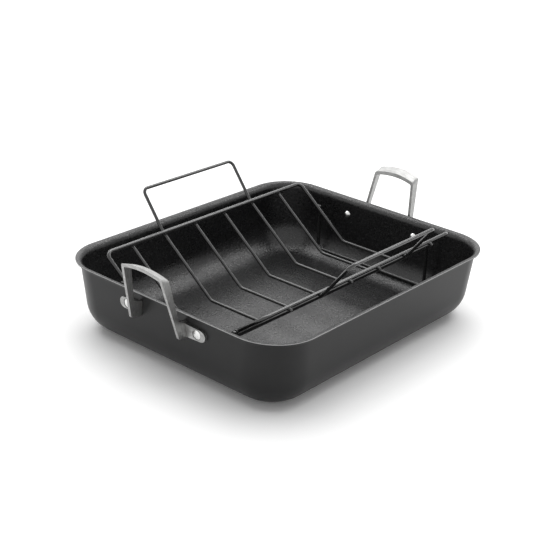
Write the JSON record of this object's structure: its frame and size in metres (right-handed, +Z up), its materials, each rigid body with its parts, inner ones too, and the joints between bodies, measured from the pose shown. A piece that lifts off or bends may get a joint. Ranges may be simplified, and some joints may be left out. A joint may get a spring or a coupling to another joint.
{
  "type": "roasting pan with rack",
  "caption": "Deep rectangular roasting pan with rounded corners, upright cast handles riveted to its short ends, and a V shaped wire rack with its own handles that lifts out.",
  "frame": {"origin": "middle of the pan's base, on the surface that the pan stands on", "axes": "+X along the pan towards the right cast handle, +Y across the pan towards the back, +Z up"},
  "size_m": [0.4736, 0.352, 0.1491],
  "materials": {
    "pan_finish": "dark grey hard-anodised sheet, satin outside, with a fine-grained dark nonstick coating inside",
    "cast_steel": "cast stainless steel with a fine brushed grain",
    "rivet_steel": "bright turned stainless steel",
    "rack_coating": "glossy black nonstick coating over steel wire"
  },
  "bodies": {
    "pan": {"pan_shell": "pan_finish", "left_handle": "cast_steel", "right_handle": "cast_steel", "rivet_left_front": "rivet_steel", "rivet_left_back": "rivet_steel", "rivet_right_front": "rivet_steel", "rivet_right_back": "rivet_steel"},
    "rack": {"rack_frame": "rack_coating", "cross_wire_1": "rack_coating", "cross_wire_3": "rack_coating", "cross_wire_4": "rack_coating", "cross_wire_6": "rack_coating", "carry_loop": "rack_coating", "left_foot": "rack_coating", "right_foot": "rack_coating"}
  },
  "joints": [
    {"name": "rack_lift", "type": "slide", "parent": "pan", "child": "rack", "axis": [0, 0, 1], "range_m": [0, 0.15]}
  ]
}
